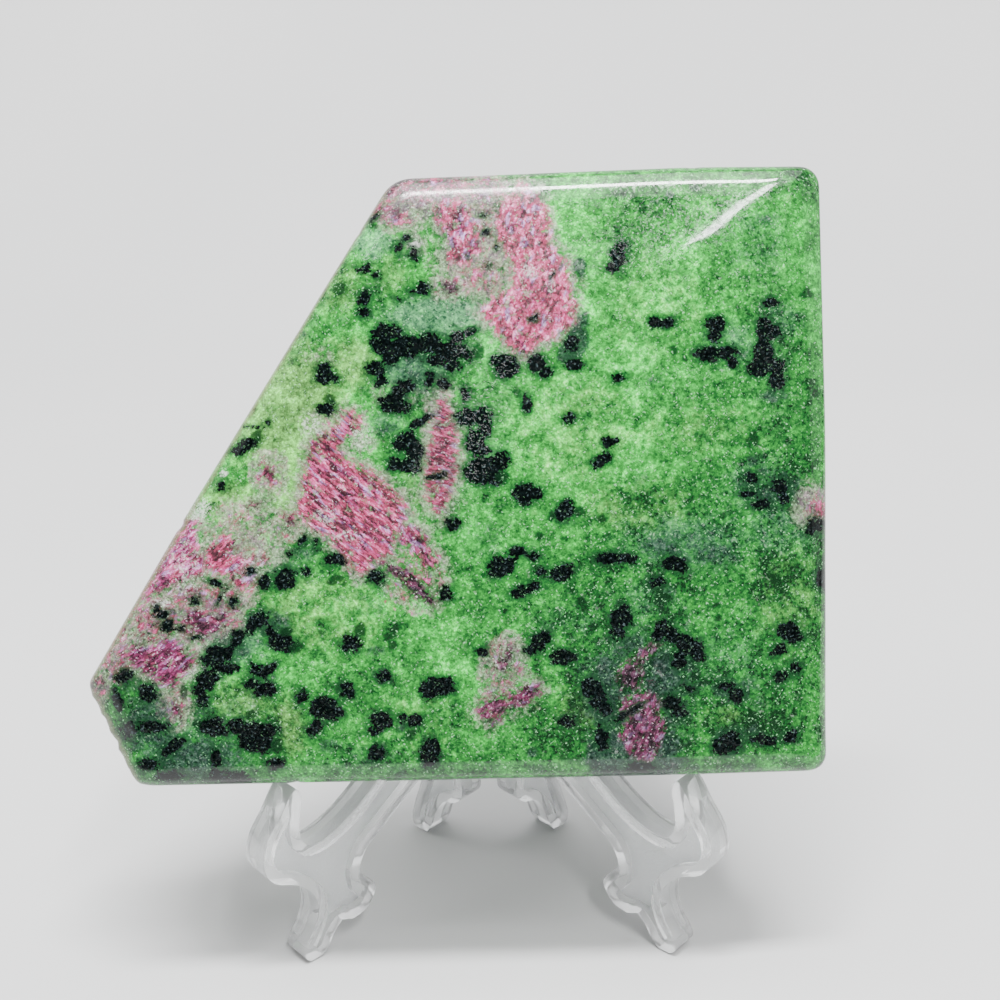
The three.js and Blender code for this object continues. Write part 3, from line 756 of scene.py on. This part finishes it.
def moved(coordinates, offset=(0, 0, 0), scale=(1, 1, 1)):
    plugs = {"Vector": coordinates, "Location": offset, "Scale": scale}
    return add("Mapping", plugs).outputs["Vector"]


def pushed(coordinates, push, amounts):
    """The coordinates, shifted by a push of its own amount along each axis."""
    plugs = {0: push, 1: amounts, 2: coordinates}
    return add("VectorMath", plugs, operation="MULTIPLY_ADD").outputs[0]


def cloud(coordinates, scale, detail, rough):
    plugs = {"Vector": coordinates, "Scale": scale, "Detail": detail, "Roughness": rough}
    return add("TexNoise", plugs).outputs["Fac"]


def grains(coordinates, scale):
    """Two random numbers for each of many small grains, and the way out from its heart."""
    made = add("TexVoronoi", {"Vector": coordinates, "Scale": scale})
    parts = add("SeparateColor", {"Color": made.outputs["Color"]})
    return parts.outputs[0], parts.outputs[1], made.outputs["Distance"]


def object_places():
    return add("TexCoord", {}).outputs["Object"]


def dented(height, strength, distance):
    plugs = {"Height": height, "Strength": strength, "Distance": distance}
    return add("Bump", plugs).outputs["Normal"]


def shine(plugs):
    """Ends the tree in hand with its surface."""
    made = add("BsdfPrincipled", plugs)
    add("OutputMaterial", {"Surface": made.outputs["BSDF"]})


# %% [markdown]
# ## Polished ruby epidote
#
# Under the polish the rock is a mosaic of tiny grains, each a slightly different green, in
# soft mottles a millimetre or two across. A mineral's edge is never a clean line, so random
# patterns of several sizes are added to how far inside it lies before the edge is cut.

# %% The stone's patterns
stone_finish, tree = new_finish("polished_ruby_epidote")
flat = kept("flat", "Vector")

warp = add("TexNoise", {"Vector": flat, "Scale": 2.4, "Detail": 2.0}).outputs["Color"]
warp = add("VectorMath", {0: warp, 1: (0.5, 0.5, 0.5)}, operation="SUBTRACT").outputs[0]
ragged = pushed(flat, warp, (0.45, 0.45, 0.45))

grain_one, grain_two = grains(ragged, 3.0)[:2]
fine_one, fine_two = grains(moved(ragged, (7.3, 2.1, 4.4)), 5.0)[:2]
soft = cloud(flat, 3.2, 2, 0.6)
fleck = cloud(moved(flat, (5.5, 1.2, 8.8)), 1.15, 3, 0.65)
mottle = cloud(flat, 0.42, 3, 0.6)
drift = cloud(flat, 0.13, 2, 0.5)
fray = cloud(moved(flat, (3.1, 9.2, 5.7)), 0.95, 3, 0.7)

# %% Green ground
# One number says how pale each grain is, and the zones and the slow mottling shift it.
paleness = swayed(
    0.44, (grain_one, 0.2), (fine_one, 0.22), (soft, 0.45), (fleck, 0.8), (mottle, 0.85), (drift, 0.7)
)
# The pale zones lighten and the deep zones darken the grains: partly the ground's own tone, partly painted
# light and painted shade.
paleness = plus(plus(paleness, kept("pale"), 0.16), kept("deep"), -0.32)

leaf_green = shades(
    paleness, (0.05, 4, 22, 7), (0.18, 9, 60, 14), (0.32, 16, 112, 20), (0.45, 22, 190, 28),
    (0.56, 28, 270, 36), (0.67, 36, 390, 50), (0.80, 58, 660, 78), (0.96, 150, 950, 190),
)
yellow_green = shades(
    paleness, (0.05, 12, 27, 10), (0.22, 46, 96, 30), (0.40, 92, 222, 56), (0.52, 126, 325, 70),
    (0.64, 160, 465, 92), (0.80, 235, 720, 130), (0.96, 470, 930, 310),
)
teal_green = shades(
    paleness, (0.05, 5, 16, 11), (0.18, 14, 44, 26), (0.31, 34, 97, 52), (0.45, 64, 187, 90),
    (0.56, 88, 262, 116), (0.68, 115, 370, 150), (0.84, 165, 600, 215), (0.98, 420, 920, 480),
)
yellow_reach = swayed(kept("yellow"), (fleck, 0.9), (grain_two, 0.3), (mottle, 1.2))
teal_reach = swayed(kept("teal"), (fray, 1.2), (fine_two, 0.3))
ground = over(times(fade(yellow_reach, 0.15, 1.05), 0.85), leaf_green, yellow_green)
ground = over(times(fade(teal_reach, 0.25, 1.05), 0.85), ground, teal_green)

# %% Grey rims
# A rim is mauve in one place and sage in the next.
rim_shade = swayed(0.55, (fine_one, 0.22), (soft, 0.6), (fleck, 0.7), (mottle, 0.4))
# The deep zones, partly painted shade, darken the rims as well.
rim_shade = plus(rim_shade, kept("deep"), -0.15)
mauve = shades(
    rim_shade, (0.12, 30, 23, 27), (0.32, 63, 49, 57), (0.46, 113, 82, 96), (0.58, 190, 136, 157),
    (0.72, 325, 228, 258), (0.90, 620, 480, 520),
)
sage = shades(
    rim_shade, (0.12, 26, 40, 25), (0.32, 66, 96, 56), (0.46, 130, 190, 105), (0.60, 215, 300, 180),
    (0.75, 350, 440, 290), (0.92, 600, 700, 500),
)
rim_colour = over(fade(fray, 0.42, 0.54), mauve, sage)
rim_reach = swayed(kept("grey_rims"), (grain_two, 0.25), (fray, 1.1), (fleck, 0.7))
rim_share = times(fade(rim_reach, 0.25, 0.75), 0.88)
ground = over(rim_share, ground, rim_colour)

# %% Ruby
# Needles are grains stretched along each patch's own direction, in bigger cells of red, rose
# and lilac.
DEEP_LILAC = (0.14, 0.09, 0.20, 1)
PALE_LILAC = (0.50, 0.40, 0.74, 1)
needle_place = kept("needles", "Vector")
needle_warp = pushed(needle_place, warp, (0.5, 0.9, 0.5))
needle_one, needle_two = grains(needle_warp, 2.0)[:2]
cell_one, cell_two = grains(moved(needle_warp, (4.1, 7.7, 2.9)), 0.9)[:2]
needle_soft = cloud(needle_place, 0.9, 4, 0.7)
hue_soft = cloud(moved(needle_place, (2.2, 5.1, 6.4)), 0.55, 3, 0.6)
ruby_shade = swayed(
    0.365, (needle_one, 0.36), (cell_one, 0.28), (needle_soft, 1.2), (mottle, 0.45),
    (kept("brightness"), 0.2),
)
rose = shades(
    ruby_shade, (0.12, 30, 12, 16), (0.28, 88, 26, 36), (0.40, 200, 30, 60), (0.50, 310, 40, 96),
    (0.60, 425, 60, 160), (0.72, 570, 140, 290), (0.85, 770, 340, 470), (0.98, 930, 780, 820),
)
pink = shades(
    ruby_shade, (0.12, 24, 7, 14), (0.28, 70, 16, 36), (0.40, 150, 20, 66), (0.50, 225, 32, 110),
    (0.60, 310, 60, 180), (0.72, 430, 140, 320), (0.85, 620, 370, 590), (0.98, 880, 810, 930),
)
dull = shades(
    ruby_shade, (0.12, 6, 5, 6), (0.30, 19, 12, 16), (0.45, 48, 20, 35), (0.58, 82, 36, 60),
    (0.74, 125, 80, 104), (0.92, 310, 270, 300),
)
magenta_reach = swayed(kept("magenta"), (cell_two, 0.5), (hue_soft, 2.2))
ruby_colour = over(fade(magenta_reach, 0.15, 0.85), rose, pink)
lilac = over(fade(ruby_shade, 0.3, 0.8), DEEP_LILAC, PALE_LILAC)
lilac_share = times(fade(swayed(hue_soft, (cell_one, 0.1)), 0.57, 0.66), 0.6)
ruby_colour = over(lilac_share, ruby_colour, lilac)
bright_share = fade(swayed(kept("brightness"), (fray, 1)), 0.15, 0.75)
ruby_colour = over(bright_share, dull, ruby_colour)
ruby_reach = swayed(kept("ruby"), (needle_two, 0.4), (fray, 2.6), (fleck, 1.8), (needle_soft, 2.4))
ruby_share = fade(ruby_reach, -0.55, 0.50)
gaps = fade(swayed(fray, (fleck, -0.8)), 0.60, 0.72)
ruby_share = plus(ruby_share, times(ruby_share, gaps), -0.7)
ground = over(ruby_share, ground, ruby_colour)

# %% Clouds of dark mineral under the surface
cloud_shade = swayed(0.42, (fine_two, 0.35), (soft, 0.6), (fleck, 0.7))
cloud_colour = shades(
    cloud_shade, (0.10, 3, 8, 7), (0.35, 9, 19, 16), (0.50, 22, 40, 34), (0.65, 44, 78, 62),
    (0.80, 100, 150, 130), (0.95, 250, 330, 300),
)
cloud_reach = swayed(kept("clouds"), (grain_one, 0.3), (fray, 1.2), (fleck, 0.6))
cloud_share = times(fade(cloud_reach, 0.25, 0.95), 0.9)
ground = over(cloud_share, ground, cloud_colour)

# %% White haze and the worn edge
HAZE_COLOUR = (0.62, 0.62, 0.60, 1)
WORN_COLOUR = (0.150, 0.160, 0.075, 1)
haze_reach = swayed(kept("white_haze"), (fine_one, 0.6), (fray, 1))
ground = over(times(fade(haze_reach, 0.25, 0.9), 0.7), ground, HAZE_COLOUR)
worn_reach = swayed(kept("edge_wear"), (soft, 0.9))
ground = over(times(fade(worn_reach, 0.25, 0.8), 0.7), ground, WORN_COLOUR)

# %% Hornblende
# The fringe of a spot is dark green, and its heart is black with a few blue-grey grains.
FRINGE_COLOUR = (0.007, 0.036, 0.013, 1)
THIN_GRAIN_COLOUR = (0.0035, 0.020, 0.0070, 1)
black_reach = sums("ADD", kept("black"), 0.18)
black_reach = swayed(black_reach, (fray, 1.7), (fleck, 1), (grain_one, 0.28), (fine_two, 0.22))
fringe_share = times(fade(black_reach, -0.75, -0.05), 0.8)
ground = over(fringe_share, ground, FRINGE_COLOUR)
black_colour = shades(
    swayed(0.45, (fine_one, 0.8), (soft, 0.7)),
    (0.00, 0.4, 0.8, 0.8), (0.52, 1.2, 2.8, 2.6), (0.78, 4, 8, 8), (0.98, 60, 85, 90),
)
black_share = fade(black_reach, -0.10, 0.12)
ground = over(black_share, ground, black_colour)
green_reach = swayed(kept("dark_green"), (fray, 1), (fleck, 0.6))
green_share = times(fade(green_reach, -0.30, 0.15), 0.88)
ground = over(green_share, ground, THIN_GRAIN_COLOUR)

# %% Painted glints
# Cleavage faces just under the polish glint, and these glints are painted into the colour as
# short pale dashes, laid in two directions. They are fainter over the clouds and the black.
DASH_SIZE = (0.46, 0.19, 0.24)
PAINTED_GREEN_GLINT = (0.42, 0.92, 0.46, 1)
PAINTED_ROSE_GLINT = (0.93, 0.76, 0.84, 1)


def dashes(turn, offset):
    """Sparse short painted glints that all run one way, each from 0 to its own brightness."""
    way = (0, 0, math.radians(turn))
    plugs = {"Vector": ragged, "Location": offset, "Rotation": way, "Scale": DASH_SIZE}
    laid = add("Mapping", plugs, vector_type="TEXTURE").outputs["Vector"]
    chance, _, reach = grains(laid, 1.0)
    return times(fade(reach, 0.42, 0.15), fade(chance, 0.74, 1.0))


painted_glints = sums("MAXIMUM", dashes(38, (0.3, 0.7, 0.1)), dashes(-47, (3.3, 1.9, 0.6)))
painted_glint_share = times(painted_glints, 0.46)
painted_glint_share = plus(painted_glint_share, times(painted_glint_share, cloud_share), -0.55)
painted_glint_share = plus(painted_glint_share, times(painted_glint_share, black_share), -0.75)
painted_glint_colour = over(ruby_share, PAINTED_GREEN_GLINT, PAINTED_ROSE_GLINT)
ground = over(painted_glint_share, ground, painted_glint_colour)

# %% Polish
# Some grains pluck out a little under the wheel, so a highlight breaks up into specks. The
# ruby and its rims are harder than the ground and keep a rougher polish.
STONE_GLOSS = 0.045
STONE_IOR = 1.50
pits = fade(fine_two, 0.66, 0.84)
hard = sums("MAXIMUM", ruby_share, times(rim_share, 0.8))
roughness = plus(plus(STONE_GLOSS, pits, 0.13), fade(fleck, 0.46, 0.62), 0.07)
shine({
    "Base Color": ground, "Roughness": plus(roughness, hard, 0.11), "IOR": STONE_IOR,
    "Normal": dented(sums("SUBTRACT", 1.0, pits), 0.20, 0.00008),
})
stone.data.materials.append(stone_finish)
print("nodes in the stone's finish:", len(tree.nodes))

# %% [markdown]
# ## The easel
#
# Each half of the easel is one flat moulding, with a raised rim round a thinner web. Clear
# plastic comes out of a polished mould with tiny rounds on every edge, and those rounds are
# what catches the light. So the solid's triangles are dissolved back into whole faces and
# every sharp edge gets a small bevel. The web was moulded against a finely etched surface.

# %% Frames with soft edges
EDGE_ROUND = 0.38 * MM
SHARP_EDGE = math.radians(35)
WEB_HALF_THICKNESS = 0.9
WEB_MARGIN = 0.2
PLASTIC_IOR = 1.49
ALONG = 0.99  # the cosine from which two directions count as the same


def softened_frame(node, name):
    """A frame with dissolved flats and rounded edges."""
    piece = copied_solid(node, name)
    bpy.ops.object.mode_set(mode="EDIT")
    bpy.ops.mesh.select_all(action="SELECT")
    bpy.ops.mesh.dissolve_limited(angle_limit=math.radians(2))
    bpy.ops.object.mode_set(mode="OBJECT")
    edges = piece.modifiers.new("mould rounds", "BEVEL")
    edges.width = EDGE_ROUND
    edges.segments = 3
    edges.limit_method = "ANGLE"
    edges.angle_limit = SHARP_EDGE
    edges.use_clamp_overlap = True
    bpy.ops.object.modifier_apply(modifier=edges.name)
    bpy.ops.object.shade_smooth_by_angle(angle=math.radians(38))
    return piece


left_frame = softened_frame("stand_frame_left", "easel_frame_left")
right_frame = softened_frame("stand_frame_right", "easel_frame_right")
print("triangles in the frames:", triangle_count(left_frame), triangle_count(right_frame))

# %% Clear plastic
clear_finish, tree = new_finish("clear_polished_plastic")
place_mm = moved(object_places(), scale=(1000, 1000, 1000))
flow = cloud(moved(place_mm, scale=(1, 1, 0.4)), 0.35, 2, 0.5)
scuffs = fade(cloud(place_mm, 2.2, 2, 0.7), 0.58, 0.75)
shine({
    "Base Color": (0.985, 0.992, 0.995, 1), "Roughness": plus(0.03, scuffs, 0.12), "IOR": PLASTIC_IOR,
    "Transmission Weight": 0.80, "Normal": dented(flow, 0.25, 0.0004),
})

# %% Frosted web
frost_finish, tree = new_finish("frosted_web_plastic")
etch = cloud(moved(object_places(), scale=(1000, 1000, 1000)), 3.6, 3, 0.7)
shine({
    "Base Color": (0.95, 0.965, 0.97, 1), "Roughness": plus(0.26, etch, 0.25), "IOR": PLASTIC_IOR,
    "Transmission Weight": 0.66, "Normal": dented(etch, 0.8, 0.00025),
})


# %% Put the finishes on the frames
def finish_frame(piece):
    """Clear plastic all over, and the frosted finish on the sunken web."""
    piece.data.materials.append(clear_finish)
    piece.data.materials.append(frost_finish)
    level = [f for f in piece.data.polygons if abs(f.normal.z) < 0.02]
    broadest = max(level, key=lambda f: f.area).normal.copy()
    middle = np.mean([f.center.dot(broadest) for f in level if abs(f.normal.dot(broadest)) > ALONG])
    for f in piece.data.polygons:
        faces_out = abs(f.normal.dot(broadest)) > ALONG
        sunken = abs(f.center.dot(broadest) - middle) < (WEB_HALF_THICKNESS + WEB_MARGIN) * MM
        f.material_index = 1 if faces_out and sunken else 0
    return sum(f.material_index for f in piece.data.polygons)


print("web faces:", finish_frame(left_frame), finish_frame(right_frame))

# %% [markdown]
# ## Ground and light
#
# The slice stands on a pale sheet that sweeps up behind it. A long, narrow soft box hangs nearly
# overhead, so it shows as a thin white line where the rim rolls over at the top. A wide ceiling
# box fills the shadows, and two weak boxes at the sides draw the easel's edges.

# %% Pale sweep
# A sheet has no CAD solid, so its sizes are given here, in metres.
SWEEP_HALF_WIDTH = 0.9
SWEEP_FRONT = -1.2
SWEEP_BACK = 0.55
SWEEP_RISE = 0.9
SWEEP_BEND = 0.3
SWEEP_DROP = 0.25 * MM

bpy.ops.object.select_all(action="DESELECT")
bpy.ops.mesh.primitive_plane_add(size=2 * SWEEP_HALF_WIDTH, location=(0, 0, -SWEEP_DROP))
sweep = bpy.context.active_object
sweep.name = "pale_sweep"
for corner in sweep.data.vertices:
    corner.co.y = SWEEP_BACK if corner.co.y > 0 else SWEEP_FRONT
bpy.ops.object.mode_set(mode="EDIT")
bpy.ops.mesh.select_all(action="DESELECT")
bpy.ops.object.mode_set(mode="OBJECT")
for edge in sweep.data.edges:
    ends = [sweep.data.vertices[i].co.y for i in edge.vertices]
    edge.select = min(ends) > SWEEP_BACK - 0.01
bpy.ops.object.mode_set(mode="EDIT")
bpy.ops.mesh.select_mode(type="EDGE")
bpy.ops.mesh.extrude_region_move(TRANSFORM_OT_translate={"value": (0, 0, SWEEP_RISE)})
bpy.ops.object.mode_set(mode="OBJECT")
bend = sweep.modifiers.new("bend", "BEVEL")
bend.width = SWEEP_BEND
bend.segments = 24
bend.limit_method = "ANGLE"
bend.angle_limit = math.radians(40)
bpy.ops.object.modifier_apply(modifier=bend.name)
bpy.ops.object.shade_smooth()

sweep_finish, tree = new_finish("pale_paper")
tone = cloud(object_places(), 5.0, 2, 0.5)
shine({"Base Color": shades(tone, (0.3, 490, 495, 500), (0.7, 540, 540, 540)), "Roughness": 0.8})
sweep.data.materials.append(sweep_finish)

# %% Soft lights
def soft_light(name, place, target, width, height, watts):
    """A rectangular soft box that faces its target."""
    bpy.ops.object.light_add(type="AREA", location=place)
    box = bpy.context.active_object
    box.name = name
    box.data.shape = "RECTANGLE"
    box.data.size = width
    box.data.size_y = height
    box.data.energy = watts
    box.rotation_euler = (Vector(target) - Vector(place)).to_track_quat("-Z", "Y").to_euler()
    return box


stone_middle = (stone_low + stone_high) / 2
soft_light("key_soft_box", (0.02, -0.20, 1.10), stone_middle, 0.60, 0.12, 29.0)
soft_light("ceiling_box", (0.0, -0.06, 1.15), (0, 0.0, 0), 1.40, 0.90, 14.0)
soft_light("backdrop_light", (-0.25, 0.10, 1.10), (-0.20, 0.50, 0.30), 1.0, 0.3, 4.0)
soft_light("left_side_box", (-0.60, -0.02, 0.30), (0, 0, 0.04), 0.60, 0.50, 0.8)
soft_light("right_side_box", (0.60, -0.02, 0.30), (0, 0, 0.04), 0.60, 0.50, 0.8)

# A narrow strip whose image lies along the hip. Its direction is given as degrees round to the
# right of the front, and degrees up.
HIP_MIDDLE = Vector((0.031, -0.004, 0.088))
STRIP_ROUND = math.radians(23.0)
STRIP_UP = math.radians(51.5)
STRIP_TURN = math.radians(-30)
STRIP_AWAY = 0.85
strip_way = Vector((
    math.sin(STRIP_ROUND) * math.cos(STRIP_UP), -math.cos(STRIP_ROUND) * math.cos(STRIP_UP),
    math.sin(STRIP_UP),
))
hip_strip = soft_light("hip_strip", HIP_MIDDLE + STRIP_AWAY * strip_way, HIP_MIDDLE, 0.070, 0.43, 7.0)
hip_strip.rotation_euler.rotate_axis("Z", STRIP_TURN)

ROOM_COLOUR = (0.93, 0.96, 1.0, 1)
ROOM_STRENGTH = 0.015
world = bpy.data.worlds.new("studio")
bpy.context.scene.world = world
world.use_nodes = True
world.node_tree.nodes["Background"].inputs["Color"].default_value = ROOM_COLOUR
world.node_tree.nodes["Background"].inputs["Strength"].default_value = ROOM_STRENGTH

# %% [markdown]
# ## Handing over
#
# Each piece rides with the model's one body and stands in for its CAD solid.

# %% Names, places and sizes
for piece, node, slot in (
    (stone, "stone_slab", "polished_stone"),
    (left_frame, "stand_frame_left", "clear_plastic"),
    (right_frame, "stand_frame_right", "clear_plastic"),
):
    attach(piece, "root")
    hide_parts(node)
